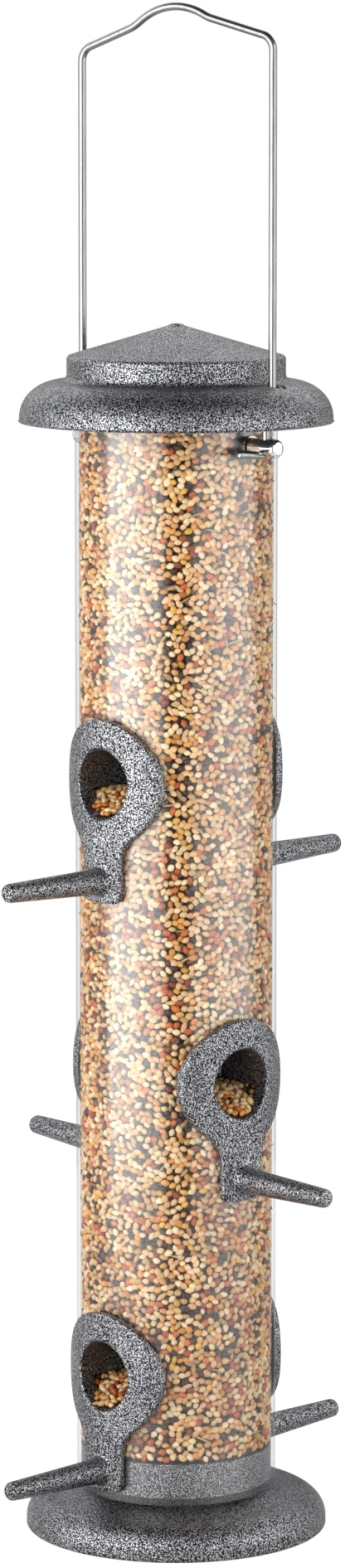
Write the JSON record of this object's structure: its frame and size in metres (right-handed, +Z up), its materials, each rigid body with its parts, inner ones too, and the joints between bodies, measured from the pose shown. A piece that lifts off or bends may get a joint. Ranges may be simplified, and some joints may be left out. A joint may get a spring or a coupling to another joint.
{
  "type": "hanging tube bird feeder",
  "caption": "Clear seed tube with pairs of cast ports and perches, a round cast base, and a cast lid that slides up the wire bail it hangs from.",
  "frame": {"origin": "centre of the base's resting face", "axes": "+Z up along the tube; the bail's two pins lie on X, and the top and bottom pairs of ports face within 1.2 degrees of -Y and +Y"},
  "size_m": [0.147, 0.1476, 0.4847],
  "materials": {
    "hammered_casting": "silver-grey hammered coat, semi-gloss",
    "clear_tube": "clear, polished",
    "seed": "mixed loose seed, matt",
    "rod_steel": "drawn",
    "plated_steel": "zinc plated",
    "wire_steel": "bright drawn wire",
    "pin_chrome": "polished",
    "bush_nickel": "nickel plated"
  },
  "bodies": {
    "feeder": {"tube": "clear_tube", "base_disc": "hammered_casting", "base_cup": "hammered_casting", "base_screw": "plated_steel", "base_washer": "plated_steel", "seed_fill": "seed", "port_top_front": "hammered_casting", "port_top_back": "hammered_casting", "port_middle_right": "hammered_casting", "port_middle_left": "hammered_casting", "port_bottom_front": "hammered_casting", "port_bottom_back": "hammered_casting", "tie_rod_top": "rod_steel", "tie_rod_middle": "rod_steel", "tie_rod_bottom": "rod_steel", "pin_bush_right": "bush_nickel", "pin_bush_left": "bush_nickel"},
    "bail": {"bail_wire": "wire_steel", "bail_pin_right": "pin_chrome", "bail_pin_left": "pin_chrome", "pin_clips": "plated_steel"},
    "lid": {"lid": "hammered_casting"}
  },
  "joints": [
    {"name": "bail_swing", "type": "hinge", "parent": "feeder", "child": "bail", "pos_m": [0, 0, 0.3485], "axis": [1, 0, 0], "range_deg": [-1.5, 1.5]},
    {"name": "lid_slide", "type": "slide", "parent": "bail", "child": "lid", "axis": [0, 0, 1], "range_m": [0, 0.092]}
  ]
}
